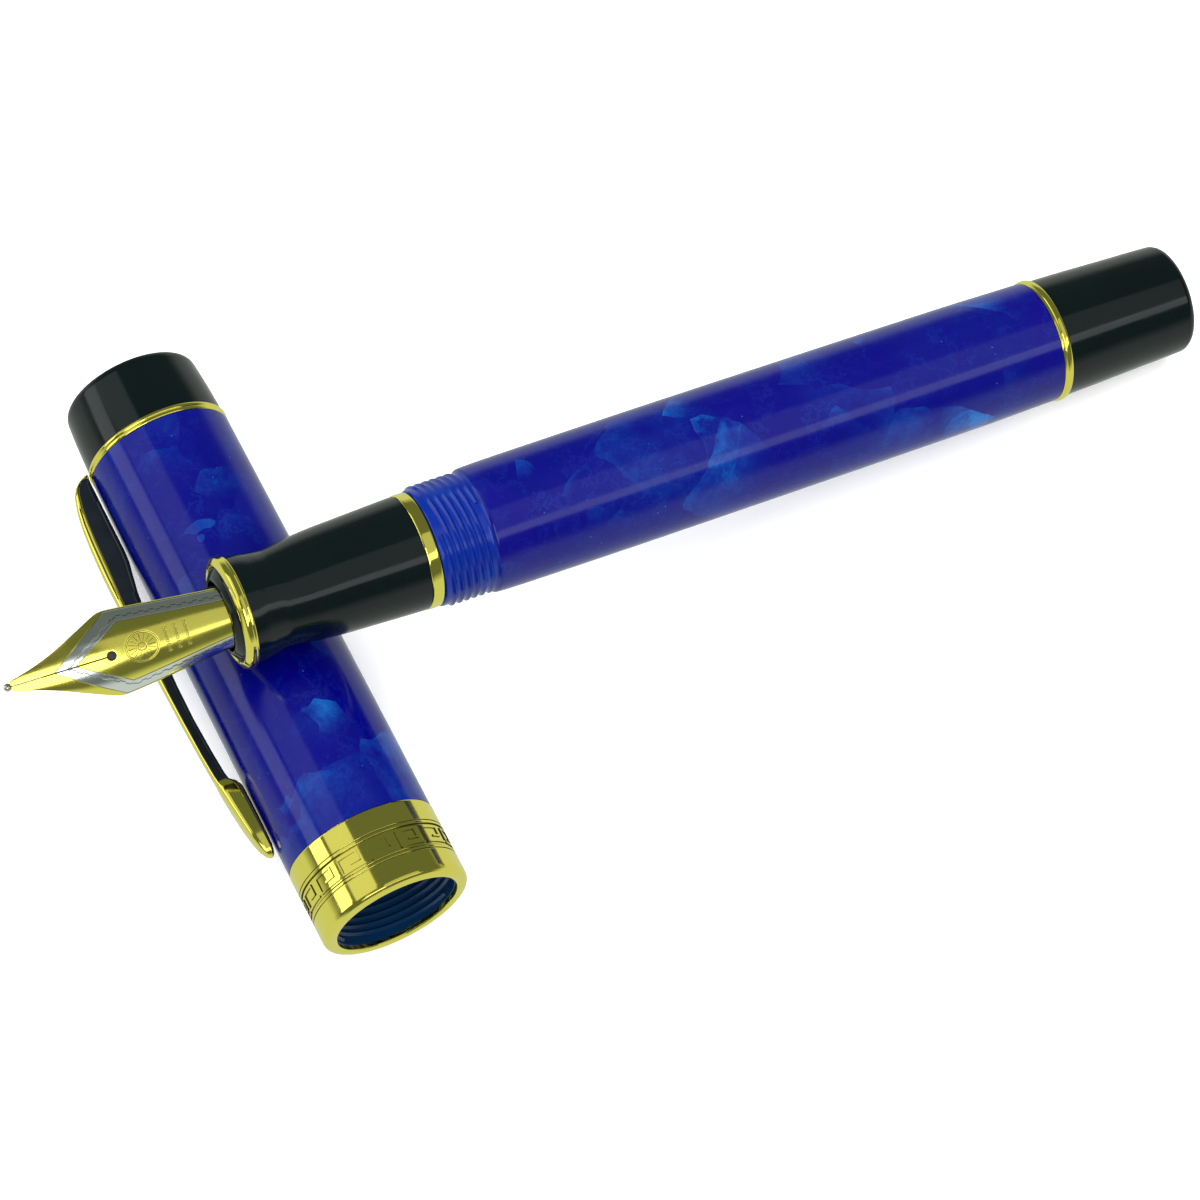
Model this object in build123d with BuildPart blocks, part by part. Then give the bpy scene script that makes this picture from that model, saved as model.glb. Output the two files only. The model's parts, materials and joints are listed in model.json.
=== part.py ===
from build123d import *
import math
import os

os.makedirs("parts", exist_ok=True)

# Fountain pen lying uncapped across its own cap. All sizes in millimetres.
# Stations along the pen are counted from the flat tail end towards the nib,
# stations along the cap from the lip of its mouth towards the crown.

# where the pen and the cap lie
lean = 8.55                 # pen rises this many degrees towards the nib
heading = 2.16              # pen points this far off the row's -X, towards +Y
nib_roll = -31.0            # the nib's face is turned towards -Y
tail_x = 63.107
tail_y = -5.25
cap_x = -38.063
lip_y = -31.85

# tail cap
tail_end_r = 5.69
tail_edge = 0.8
tail_flare = 0.028          # the side's taper widens the rounded edge by this much
tail_cap_length = 14.95
tail_cap_r = 6.17
tail_bore_r = 4.2
tail_wall = 5.0
spigot_r = 4.98
spigot_end = 23.9

# barrel
barrel_start = 15.97
barrel_shoulder = 79.1
barrel_mouth = 84.95
barrel_bore_r = 5.0
barrel_bore_end = 74.4
cap_thread_root_r = 6.0
cap_thread_crest_r = 6.24
cap_thread_pitch = 0.8
cap_thread_start = 80.1
cap_thread_ridges = 6
bush_r = 5.5
bush_end = 84.6
inner_thread_r = 4.88
inner_thread_root_r = 5.05
inner_thread_pitch = 0.75

# front section
joint_ring_start = 85.02
joint_ring_end = 86.32
joint_ring_r = 5.89
section_end = 104.5
section_bore_r = 4.4
socket_r = 4.86
socket_end = 92.2
connector_start = 75.5
connector_r = 4.7
connector_crest_r = 4.83
connector_bore_r = 3.9
lip_end = 105.7
lip_r = 5.74
lip_hole_r = 4.5

# nib unit
collar_back = 95.45
collar_front = 104.9
collar_r = 4.38
collar_bore_r = 3.5
nipple_start = 87.45
nipple_r = 1.65
ink_way_r = 0.5
nib_back = 97.1
nib_sheet = 0.3
nib_back_r = 3.46
nib_half_back = 2.93
flare_start = 105.0
nib_seam = 105.3
flare_angle = 12.8
breather = 118.05
breather_r = 0.47
slit = 0.1
nib_tip = 127.6
tip_ball_r = 0.42
tip_ball_at = 128.03
tip_ball_drop = -0.56
feed_r = 3.05
fins = 9
fin_pitch = 1.1

# ink converter, stations counted from its mouth towards the tail
converter_mouth = 95.4
ink_tube_length = 52.0
ink_tube_r = 3.3
ink_bore_r = 2.85
ferrule_r = 3.66
rod_r = 0.9
rod_length = 31.0
seal_at = 13.0
seal_length = 5.0
knob_at = 58.1
knob_length = 14.0
knob_r = 3.68
knob_ribs = 24

# cap
cap_r = 7.75
band_end = 8.32
band_bore_r = 7.37
mouth_r = 6.4
mouth_thread_root_r = 6.36
mouth_thread_crest_r = 6.13
cap_bore_r = 6.1
cap_bore_start = 8.0
liner_pocket_r = 5.9
cap_tube_front_r = 7.72
cap_tube_end_r = 7.57
cap_tube_end = 55.8
crown_hole_r = 5.45
inner_cap_start = 27.2
inner_cap_end = 52.55
inner_cap_bore_r = 5.0
washer_end = 56.7
washer_r = 7.64
crown_end = 63.7

# clip
clip_thick = 1.8
clip_foot = 3.2
clip_clear_r = 7.78

# working planes: x runs along the part's axis, y is the distance from the axis
tail_z = (tail_end_r - tail_edge + tail_flare) * math.cos(math.radians(lean))
tail_z += tail_edge * (1 - math.sin(math.radians(lean)))
flat = math.cos(math.radians(lean))
pen_dir = Vector(
    -flat * math.cos(math.radians(heading)),
    flat * math.sin(math.radians(heading)),
    math.sin(math.radians(lean)),
)
pen_side = Vector(0, 0, 1).cross(pen_dir).normalized()
pen_up = pen_dir.cross(pen_side)
pen_plane = Plane(origin=(tail_x, tail_y, tail_z), x_dir=pen_dir, z_dir=pen_up)
nib_up = pen_up.rotate(Axis((0, 0, 0), pen_dir), nib_roll)
nib_plane = Plane(origin=pen_plane.origin, x_dir=pen_dir, z_dir=nib_up)
nib_side = Plane(origin=pen_plane.origin, x_dir=pen_dir, z_dir=pen_dir.cross(nib_up))
nib_heel = Plane(origin=pen_plane.origin + pen_dir * nib_seam, x_dir=nib_up, z_dir=pen_dir * -1)
flare_plane = Plane(nib_plane.location * Location((flare_start, 0, 0), (0, flare_angle, 0)))
cap_plane = Plane(origin=(cap_x, lip_y, cap_r), x_dir=(0, 1, 0), z_dir=(0, 0, 1))
foot_plane = Plane(origin=(cap_x, lip_y, cap_r), x_dir=(0, 1, 0), z_dir=(-1, 0, 0))


def turned(plane, points, mode=Mode.ADD):
    # a straight-sided outline turned round the plane's x axis
    with BuildSketch(plane) as outline:
        with BuildLine():
            Polyline(*points, close=True)
        make_face()
    revolve(outline.sketch, axis=Axis(plane.origin, plane.x_dir), mode=mode)


def turned_curve(plane, outer, inner, mode=Mode.ADD):
    # the same, with a smooth outer line
    with BuildSketch(plane) as outline:
        with BuildLine():
            Spline(*outer)
            Polyline(outer[-1], *inner, outer[0])
        make_face()
    revolve(outline.sketch, axis=Axis(plane.origin, plane.x_dir), mode=mode)


def ridges(plane, start, pitch, count, root, crest, mode=Mode.ADD):
    # thread ridges, one ring each
    half = abs(crest - root)
    for i in range(count):
        at = start + i * pitch
        with BuildSketch(plane) as outline:
            with BuildLine():
                Polyline((at - half, root), (at, crest), (at + half, root), close=True)
            make_face()
        revolve(outline.sketch, axis=Axis(plane.origin, plane.x_dir), mode=mode)


def back(distance):
    # station of a point on the converter, which runs back from its mouth
    return converter_mouth - distance


# barrel tube
with BuildPart() as barrel_tube:
    turned_curve(
        pen_plane,
        [(barrel_start, 6.28), (24.45, 6.43), (34.45, 6.48), (48.45, 6.52), (62.0, 6.535),
         (74.45, 6.49), (77.95, 6.44), (barrel_shoulder, 6.38)],
        [(79.45, cap_thread_root_r), (84.75, cap_thread_root_r), (barrel_mouth, 5.8),
         (barrel_mouth, bush_r + 0.02), (barrel_bore_end, bush_r + 0.02),
         (barrel_bore_end, barrel_bore_r), (barrel_start, barrel_bore_r)],
    )
    ridges(pen_plane, cap_thread_start, cap_thread_pitch, cap_thread_ridges,
           cap_thread_root_r - 0.02, cap_thread_crest_r)
barrel_tube.part.label = "barrel_tube"
export_step(barrel_tube.part, "parts/barrel_tube.step")

# threaded brass bush in the barrel's mouth
with BuildPart() as barrel_bush:
    turned(pen_plane, [(barrel_bore_end + 0.05, inner_thread_root_r), (bush_end, inner_thread_root_r),
                       (bush_end, bush_r), (barrel_bore_end + 0.05, bush_r)])
    ridges(pen_plane, 75.2, inner_thread_pitch, 12, inner_thread_root_r + 0.02, inner_thread_r)
barrel_bush.part.label = "barrel_bush"
export_step(barrel_bush.part, "parts/barrel_bush.step")

# gold ring between barrel and tail cap, with a step on its tail side
with BuildPart() as tail_ring:
    turned(pen_plane, [(14.97, 5.0), (14.97, 6.34), (15.2, 6.34), (15.26, 6.43),
                       (15.86, 6.43), (15.95, 6.34), (15.95, 5.0)])
tail_ring.part.label = "tail_ring"
export_step(tail_ring.part, "parts/tail_ring.step")

# hollow tail cap with a spigot inside the barrel
with BuildPart() as tail_cap:
    turned_curve(
        pen_plane,
        [(0.0, tail_end_r), (2.95, 5.79), (6.95, 5.92), (10.95, 6.07), (tail_cap_length, tail_cap_r)],
        [(tail_cap_length, spigot_r), (spigot_end, spigot_r), (spigot_end, tail_bore_r),
         (tail_wall, tail_bore_r), (tail_wall, 0), (0, 0)],
    )
    end_edge = tail_cap.edges().filter_by(GeomType.CIRCLE).sort_by(Axis(pen_plane.origin, pen_dir))[0]
    fillet(end_edge, radius=tail_edge)
tail_cap.part.label = "tail_cap"
export_step(tail_cap.part, "parts/tail_cap.step")

# grip section with its waist
with BuildPart() as grip_section:
    turned_curve(
        pen_plane,
        [(joint_ring_end + 0.03, 5.82), (87.95, 5.77), (91.95, 5.6), (94.95, 5.47), (97.2, 5.3),
         (99.5, 5.03), (100.9, 4.95), (102.2, 5.14), (103.3, 5.36), (section_end, 5.47)],
        [(section_end, section_bore_r), (socket_end, section_bore_r), (socket_end, socket_r),
         (joint_ring_end + 0.03, socket_r)],
    )
grip_section.part.label = "grip_section"
export_step(grip_section.part, "parts/grip_section.step")

# rounded gold ring on the section's lip
with BuildPart() as lip_ring:
    turned(pen_plane, [(section_end, lip_hole_r), (section_end, lip_r - 0.02), (section_end + 0.1, lip_r),
                       (lip_end, lip_r), (lip_end, lip_hole_r)])
    front_edges = lip_ring.edges().filter_by(GeomType.CIRCLE).group_by(Axis(pen_plane.origin, pen_dir))[-1]
    fillet(front_edges, radius=0.5)
lip_ring.part.label = "lip_ring"
export_step(lip_ring.part, "parts/lip_ring.step")

# gold ring at the section's back end
with BuildPart() as joint_ring:
    turned(pen_plane, [(joint_ring_start, socket_r), (joint_ring_start, 5.78), (joint_ring_start + 0.16, joint_ring_r),
                       (joint_ring_end - 0.16, joint_ring_r), (joint_ring_end, 5.78), (joint_ring_end, socket_r)])
joint_ring.part.label = "joint_ring"
export_step(joint_ring.part, "parts/joint_ring.step")

# threaded tube that screws the section into the barrel
with BuildPart() as connector:
    turned(pen_plane, [(connector_start, connector_bore_r), (connector_start, connector_r - 0.2),
                       (connector_start + 0.3, connector_r), (84.6, connector_r), (84.6, socket_r - 0.02),
                       (socket_end - 0.1, socket_r - 0.02), (socket_end - 0.1, connector_bore_r)])
    ridges(pen_plane, 76.3, inner_thread_pitch, 11, connector_r - 0.02, connector_crest_r)
connector.part.label = "connector"
export_step(connector.part, "parts/connector.step")

# collar that holds nib and feed, with the nipple that pierces the converter
with BuildPart() as nib_collar:
    turned(pen_plane, [(nipple_start, ink_way_r), (nipple_start, nipple_r - 0.25), (nipple_start + 0.6, nipple_r),
                       (collar_back, nipple_r), (collar_back, collar_r), (collar_front, collar_r),
                       (collar_front, collar_bore_r), (nib_back - 0.05, collar_bore_r), (nib_back - 0.05, ink_way_r)])
nib_collar.part.label = "nib_collar"
export_step(nib_collar.part, "parts/nib_collar.step")

# nib: flared sheet with a breather hole and a slit
flare_outer = [(-0.76, 3.364), (1.8, 3.75), (3.7, 4.1), (5.61, 4.403), (7.8, 4.71), (10.0, 4.95), (12.17, 5.09),
               (15.0, 5.1), (17.78, 5.0), (20.6, 4.85), (23.4, 4.66)]
flare_inner = [(t, r - nib_sheet) for t, r in flare_outer]
nib_half_widths = [(nib_seam, nib_half_back), (105.7, nib_half_back)]
nib_shoulder = [(117.2, 4.2), (117.75, 4.24), (118.3, 4.05)]
nib_taper = [(118.3, 4.05), (120.6, 3.1), (122.6, 2.2), (124.6, 1.35), (126.4, 0.8), (nib_tip, 0.5)]

with BuildPart() as nib:
    with BuildSketch(flare_plane):
        with BuildLine():
            Polyline(*flare_outer, *reversed(flare_inner), close=True)
        make_face()
    revolve(axis=Axis(flare_plane.origin, flare_plane.x_dir))
    with BuildSketch(nib_plane.offset(-1.5)):
        with BuildLine():
            Polyline(*[(x, -y) for x, y in reversed(nib_shoulder)], *[(x, -y) for x, y in reversed(nib_half_widths)],
                     *nib_half_widths, *nib_shoulder)
            Spline(*nib_taper)
            Line(nib_taper[-1], (nib_tip, -nib_taper[-1][1]))
            Spline(*[(x, -y) for x, y in reversed(nib_taper)])
        make_face()
    extrude(amount=6, mode=Mode.INTERSECT)
    with BuildSketch(nib_side.offset(-5)):
        with Locations((104, -1)):
            Rectangle(16, 2.6)
    extrude(amount=10, mode=Mode.SUBTRACT)
    with BuildSketch(nib_heel):
        Circle(nib_back_r)
        Circle(nib_back_r - nib_sheet, mode=Mode.SUBTRACT)
        with Locations((nib_back_r, 0)):
            Rectangle(2 * nib_back_r, 2 * nib_half_back, mode=Mode.INTERSECT)
    extrude(amount=nib_seam - nib_back)
    with BuildSketch(nib_plane):
        with Locations((breather, 0)):
            Circle(breather_r)
        with Locations(((breather + nib_tip + 2) / 2, 0)):
            Rectangle(nib_tip + 2 - breather, slit)
    extrude(amount=8, both=True, mode=Mode.SUBTRACT)
nib.part.label = "nib"
export_step(nib.part, "parts/nib.step")

# hard ball at the nib's tip, grooved by the slit
with BuildPart() as nib_tipping:
    with Locations(nib_side.location * Location((tip_ball_at, tip_ball_drop, 0))):
        Sphere(tip_ball_r)
    with BuildSketch(nib_plane):
        with Locations((tip_ball_at, 0)):
            Rectangle(4 * tip_ball_r, slit)
    extrude(amount=2, mode=Mode.SUBTRACT)
nib_tipping.part.label = "nib_tipping"
export_step(nib_tipping.part, "parts/nib_tipping.step")

# finned feed under the nib
feed_half_widths = [(104.0, 3.1), (112.0, 2.9), (118.0, 2.3), (122.0, 1.4), (124.6, 0.7)]
with BuildPart() as feed:
    with BuildSketch(flare_plane):
        with BuildLine():
            Polyline(*[(t, r - 0.04) for t, r in flare_inner])
            Polyline((flare_inner[-1][0], flare_inner[-1][1] - 0.04), (flare_inner[-1][0], 0),
                     (flare_inner[0][0], 0), (flare_inner[0][0], flare_inner[0][1] - 0.04))
        make_face()
    revolve(axis=Axis(flare_plane.origin, flare_plane.x_dir))
    turned(nib_side, [(flare_start, 0), (flare_start, feed_r), (126, feed_r), (126, 0)], Mode.INTERSECT)
    with BuildSketch(nib_side.offset(-5)):
        with BuildLine():
            Polyline((flare_start, -3.2), (110.0, -3.0), (117.0, -2.5), (121.5, -1.7), (124.6, -0.6),
                     (124.8, 3.0), (flare_start, 3.2), close=True)
        make_face()
    extrude(amount=10, mode=Mode.INTERSECT)
    with BuildSketch(nib_plane.offset(-4)):
        with BuildLine():
            Polyline(*feed_half_widths, *[(x, -y) for x, y in reversed(feed_half_widths)], close=True)
        make_face()
    extrude(amount=8, mode=Mode.INTERSECT)
    turned(nib_side, [(nib_back, 0), (nib_back, feed_r), (flare_start + 0.05, feed_r), (flare_start + 0.05, 0)])
    with BuildSketch(nib_side):
        with Locations(*[(107.2 + i * fin_pitch, -2.6) for i in range(fins)]):
            Rectangle(0.4, 1.8)
    extrude(amount=4, both=True, mode=Mode.SUBTRACT)
feed.part.label = "feed"
export_step(feed.part, "parts/feed.step")

# converter: clear ink tube with a mouth that fits the nipple
with BuildPart() as ink_tube:
    turned(pen_plane, [(back(0), nipple_r + 0.03), (back(0), ink_tube_r - 0.3), (back(0.3), ink_tube_r),
                       (back(ink_tube_length), ink_tube_r), (back(ink_tube_length), ink_bore_r),
                       (back(1.5), ink_bore_r), (back(1.5), nipple_r + 0.03)])
ink_tube.part.label = "ink_tube"
export_step(ink_tube.part, "parts/ink_tube.step")

# metal sleeve that joins the tube to the knob end
with BuildPart() as converter_ferrule:
    turned(pen_plane, [(back(44.0), ink_tube_r + 0.02), (back(44.0), ferrule_r - 0.1), (back(44.2), ferrule_r),
                       (back(57.8), ferrule_r), (back(58.0), ferrule_r - 0.1), (back(58.0), ink_tube_r + 0.02)])
    ridges(pen_plane, back(46.0), 1.0, 1, ferrule_r + 0.02, ferrule_r - 0.15, Mode.SUBTRACT)
converter_ferrule.part.label = "converter_ferrule"
export_step(converter_ferrule.part, "parts/converter_ferrule.step")

# guide disc for the piston rod, inside the tube
with BuildPart() as rod_guide:
    turned(pen_plane, [(back(41.5), rod_r + 0.05), (back(41.5), ink_bore_r - 0.02),
                       (back(43.5), ink_bore_r - 0.02), (back(43.5), rod_r + 0.05)])
rod_guide.part.label = "rod_guide"
export_step(rod_guide.part, "parts/rod_guide.step")

# ribbed knob
with BuildPart() as converter_knob:
    turned(pen_plane, [(back(knob_at), 1.2), (back(knob_at), knob_r), (back(knob_at + knob_length), knob_r),
                       (back(knob_at + knob_length), 0), (back(71.4), 0), (back(71.4), 1.2)])
    knob_end = Plane(origin=pen_plane.origin + pen_dir * back(knob_at + knob_length), x_dir=pen_up, z_dir=pen_dir)
    with BuildSketch(knob_end):
        with PolarLocations(knob_r + 0.05, knob_ribs):
            Circle(0.2)
    extrude(amount=knob_length - 2.5, mode=Mode.SUBTRACT)
converter_knob.part.label = "converter_knob"
export_step(converter_knob.part, "parts/converter_knob.step")

# threaded sleeve that the knob turns to drive the rod
with BuildPart() as drive_sleeve:
    turned(pen_plane, [(back(44.2), 1.1), (back(44.2), ink_bore_r - 0.1), (back(knob_at), ink_bore_r - 0.1),
                       (back(knob_at), 1.1)])
drive_sleeve.part.label = "drive_sleeve"
export_step(drive_sleeve.part, "parts/drive_sleeve.step")

# piston rod with its flattened thread
with BuildPart() as piston_rod:
    turned(pen_plane, [(back(seal_at + seal_length), 0), (back(seal_at + seal_length), rod_r - 0.1),
                       (back(seal_at + seal_length + rod_length), rod_r - 0.1),
                       (back(seal_at + seal_length + rod_length), 0)])
    ridges(pen_plane, back(48.0), 0.6, 40, rod_r - 0.12, rod_r)
piston_rod.part.label = "piston_rod"
export_step(piston_rod.part, "parts/piston_rod.step")

# piston seal with two lips
with BuildPart() as piston_seal:
    turned(pen_plane, [(back(seal_at), 0), (back(seal_at), 2.3), (back(seal_at + 0.5), ink_bore_r - 0.04),
                       (back(seal_at + 1.3), ink_bore_r - 0.04), (back(seal_at + 1.6), 2.4),
                       (back(seal_at + 3.4), 2.4), (back(seal_at + 3.7), ink_bore_r - 0.04),
                       (back(seal_at + 4.5), ink_bore_r - 0.04), (back(seal_at + seal_length), 2.3),
                       (back(seal_at + seal_length), 0)])
piston_seal.part.label = "piston_seal"
export_step(piston_seal.part, "parts/piston_seal.step")

# cap tube, threaded inside its mouth
with BuildPart() as cap_tube:
    turned_curve(
        cap_plane,
        [(band_end + 0.02, cap_tube_front_r), (30.0, 7.69), (45.0, 7.63), (cap_tube_end, cap_tube_end_r)],
        [(cap_tube_end, crown_hole_r), (inner_cap_end + 0.05, crown_hole_r),
         (inner_cap_end + 0.05, liner_pocket_r), (inner_cap_start - 0.05, liner_pocket_r),
         (inner_cap_start - 0.05, cap_bore_r), (cap_bore_start, cap_bore_r), (7.7, mouth_thread_root_r), (0.6, mouth_thread_root_r),
         (0.6, band_bore_r - 0.02), (band_end + 0.02, band_bore_r - 0.02)],
    )
    ridges(cap_plane, 2.0, cap_thread_pitch, 6, mouth_thread_root_r + 0.02, mouth_thread_crest_r)
cap_tube.part.label = "cap_tube"
export_step(cap_tube.part, "parts/cap_tube.step")

# wide gold band with two turned grooves and a ring of punched dots between them
with BuildPart() as cap_band:
    turned(cap_plane, [(0, mouth_r + 0.25), (0.25, mouth_r), (0.58, mouth_r), (0.58, band_bore_r),
                       (band_end, band_bore_r), (band_end, cap_r - 0.1), (band_end - 0.15, cap_r),
                       (5.95, cap_r), (5.85, cap_r - 0.18), (5.65, cap_r - 0.18), (5.55, cap_r),
                       (3.2, cap_r), (3.1, cap_r - 0.18), (2.9, cap_r - 0.18), (2.8, cap_r),
                       (0.6, cap_r), (0.2, cap_r - 0.17), (0, cap_r - 0.6)])
    dot_ring = Plane(origin=(cap_x, lip_y + 4.375, cap_r), x_dir=(1, 0, 0), z_dir=(0, 1, 0))
    for i in range(24):
        spoke = dot_ring.rotated((0, 0, i * 15))
        dot_plane = Plane(origin=spoke.origin + spoke.x_dir * cap_r, x_dir=(0, 1, 0), z_dir=spoke.x_dir)
        with BuildSketch(dot_plane):
            Circle(0.4)
        extrude(amount=-0.12, mode=Mode.SUBTRACT)
cap_band.part.label = "cap_band"
export_step(cap_band.part, "parts/cap_band.step")

# inner cap that closes over the nib
with BuildPart() as inner_cap:
    turned(cap_plane, [(inner_cap_start, inner_cap_bore_r + 0.3), (inner_cap_start, liner_pocket_r - 0.02),
                       (inner_cap_end, liner_pocket_r - 0.02), (inner_cap_end, 0), (51.0, 0),
                       (51.0, inner_cap_bore_r), (inner_cap_start + 0.3, inner_cap_bore_r)])
inner_cap.part.label = "inner_cap"
export_step(inner_cap.part, "parts/inner_cap.step")

# two-step gold washer that carries the clip
with BuildPart() as clip_washer:
    turned(cap_plane, [(cap_tube_end + 0.03, crown_hole_r), (cap_tube_end + 0.03, 7.52), (cap_tube_end + 0.1, 7.6),
                       (56.25, 7.6), (56.3, washer_r), (washer_end - 0.08, washer_r), (washer_end, 7.56),
                       (washer_end, crown_hole_r)])
clip_washer.part.label = "clip_washer"
export_step(clip_washer.part, "parts/clip_washer.step")

# crown with a spigot through the washer
with BuildPart() as crown:
    turned_curve(
        cap_plane,
        [(washer_end + 0.02, 7.47), (58.5, 7.42), (60.5, 7.33), (crown_end, 7.12)],
        [(crown_end, 0), (60.9, 0), (60.9, 1.6), (53.75, 1.6), (53.75, 2.7), (inner_cap_end + 0.15, 2.7),
         (inner_cap_end + 0.15, crown_hole_r - 0.03), (washer_end + 0.02, crown_hole_r - 0.03)],
    )
    top_edge = crown.edges().filter_by(GeomType.CIRCLE).sort_by(Axis.Y)[-1]
    fillet(top_edge, radius=0.8)
crown.part.label = "crown"
export_step(crown.part, "parts/crown.step")

# screw that draws the crown, washer and tube together
with BuildPart() as crown_screw:
    turned(cap_plane, [(inner_cap_end + 0.1, 0), (inner_cap_end + 0.1, 2.6), (53.7, 2.6), (53.7, 1.4),
                       (60.7, 1.4), (60.7, 0)])
    ridges(cap_plane, 54.4, 0.5, 12, 1.38, 1.55)
crown_screw.part.label = "crown_screw"
export_step(crown_screw.part, "parts/crown_screw.step")

# clip: slim arched arm, deep at its root, with a boat-shaped foot
spine = [(56.55, 8.5), (56.3, 9.55), (55.2, 10.3), (53.4, 10.65), (45.5, 10.95), (40.5, 10.9), (33.5, 10.72),
         (25.5, 10.5), (18.5, 10.1)]
foot_spine = [(20.4, 10.22), (18.5, 10.15), (14.5, 9.72), (12.3, 9.28), (11.2, 8.75), (10.9, 8.2)]
under_side = [(20.0, 8.85), (27.5, 9.2), (31.5, 9.2), (36.0, 9.0), (42.5, 8.52), (44.8, 8.1), (46.5, 7.7)]
with BuildPart() as clip_arm:
    with BuildSketch(cap_plane):
        with BuildLine():
            Spline(*foot_spine)
            Polyline(foot_spine[-1], (11.2, 7.6), (19.0, 7.6), (19.6, 8.7), (20.4, 8.87), foot_spine[0])
        make_face()
    extrude(amount=clip_foot / 2, both=True)
    with BuildSketch(foot_plane):
        with BuildLine():
            Spline((20.4, 0.85), (17.5, 1.45), (15.0, 1.6), (12.5, 1.25), (11.2, 0.7), (10.9, 0.0))
            Spline((10.9, 0.0), (11.2, -0.7), (12.5, -1.25), (15.0, -1.6), (17.5, -1.45), (20.4, -0.85))
            Line((20.4, -0.85), (20.4, 0.85))
        make_face()
    extrude(amount=14, mode=Mode.INTERSECT)
    with BuildSketch(cap_plane):
        with BuildLine():
            Spline(*spine)
            Line(spine[-1], under_side[0])
            Spline(*under_side)
            Polyline(under_side[-1], (56.4, 7.7), spine[0])
        make_face()
    extrude(amount=clip_thick / 2, both=True)
    turned(cap_plane, [(5, 0), (5, clip_clear_r), (60, clip_clear_r), (60, 0)], Mode.SUBTRACT)
clip_arm.part.label = "clip_arm"
export_step(clip_arm.part, "parts/clip_arm.step")
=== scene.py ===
import bpy
import json
import math
from mathutils import Matrix, Vector


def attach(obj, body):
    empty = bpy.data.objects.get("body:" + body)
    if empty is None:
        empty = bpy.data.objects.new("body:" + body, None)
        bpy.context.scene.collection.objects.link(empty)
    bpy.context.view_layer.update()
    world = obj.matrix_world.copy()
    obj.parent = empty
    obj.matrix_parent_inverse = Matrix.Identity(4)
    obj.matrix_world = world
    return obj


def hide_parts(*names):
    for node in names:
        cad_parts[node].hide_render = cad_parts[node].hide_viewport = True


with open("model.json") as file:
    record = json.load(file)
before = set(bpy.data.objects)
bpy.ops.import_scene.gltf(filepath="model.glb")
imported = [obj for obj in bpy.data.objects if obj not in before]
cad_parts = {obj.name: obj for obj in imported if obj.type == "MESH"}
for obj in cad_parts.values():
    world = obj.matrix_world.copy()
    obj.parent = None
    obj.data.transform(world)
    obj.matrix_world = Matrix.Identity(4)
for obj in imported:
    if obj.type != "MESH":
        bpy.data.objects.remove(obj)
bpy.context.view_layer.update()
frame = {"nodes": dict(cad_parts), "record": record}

mm = 0.001
mounts = {m["name"]: m for m in frame["record"]["mounts"]}

# the pen's axis runs from its flat tail towards the nib, the cap's from its lip towards the crown
penDir = -Vector(mounts["tail_end"]["axis"]).normalized()
penTail = Vector(mounts["tail_end"]["pos_m"])
capDir = Vector(mounts["crown_end"]["axis"]).normalized()
capLength = 63.7 * mm
capLip = Vector(mounts["crown_end"]["pos_m"]) - capDir * capLength
nibRoll = math.radians(-31.0)


def placeAlong(origin, along, up):
    # local z runs along the part, local x points up
    side = along.cross(up).normalized()
    up = side.cross(along).normalized()
    place = Matrix((up, side, along)).transposed().to_4x4()
    place.translation = origin
    return place


penPlace = placeAlong(penTail, penDir, Vector((0, 0, 1)))
nibUp = Matrix.Rotation(nibRoll, 3, penDir) @ (penPlace.to_3x3() @ Vector((1, 0, 0)))
nibPlace = placeAlong(penTail, penDir, nibUp)
capPlace = placeAlong(capLip, capDir, Vector((0, 0, 1)))
clipPlace = placeAlong(capLip, capDir, Vector((-1, 0, 0)))

# short ways to add the shader nodes


def addNode(tree, kind, inputs=None, **settings):
    node = tree.nodes.new(kind)
    for key, value in settings.items():
        setattr(node, key, value)
    for key, value in (inputs or {}).items():
        if isinstance(value, bpy.types.NodeSocket):
            tree.links.new(value, node.inputs[key])
        else:
            node.inputs[key].default_value = value
    return node


def mathNode(tree, how, a, b=0.0, c=0.0):
    return addNode(tree, "ShaderNodeMath", {0: a, 1: b, 2: c}, operation=how).outputs[0]


def vectorNode(tree, how, a, b):
    return addNode(tree, "ShaderNodeVectorMath", {0: a, 1: b}, operation=how).outputs[0]


def noiseNode(tree, coords, scale, detail, roughness=0.5):
    inputs = {"Vector": coords, "Scale": scale, "Detail": detail, "Roughness": roughness}
    return addNode(tree, "ShaderNodeTexNoise", inputs).outputs


def fadeNode(tree, value, low, high, atLow=1.0, atHigh=0.0, **settings):
    # goes from atLow to atHigh as the value goes from low to high, and stays level outside
    inputs = {0: value, 1: low, 2: high, 3: atLow, 4: atHigh}
    return addNode(tree, "ShaderNodeMapRange", inputs, **settings).outputs[0]


def mixColours(tree, share, a, b):
    node = addNode(tree, "ShaderNodeMix", {}, data_type="RGBA")
    for key, value in ((0, share), (6, a), (7, b)):
        if isinstance(value, bpy.types.NodeSocket):
            tree.links.new(value, node.inputs[key])
        else:
            node.inputs[key].default_value = value
    return node.outputs[2]


# camera, floor and light

cameraSet = {
    "lens": 138.27, "sensor": 36.0, "away": 0.4698, "azimuth": -26.56, "height": 65.57,
    "aim": (-0.003943, -0.00745, 0.0), "nearest": 0.01, "farthest": 20.0,
}
floorSet = {"size": 3.0, "colour": (0.93, 0.93, 0.93, 1), "roughness": 0.95, "glow": 0.22}
worldSet = {"above": (0.125, 0.145, 0.130, 1), "below": (0.60, 0.64, 0.59, 1), "blend": (-0.15, 0.12)}
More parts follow.
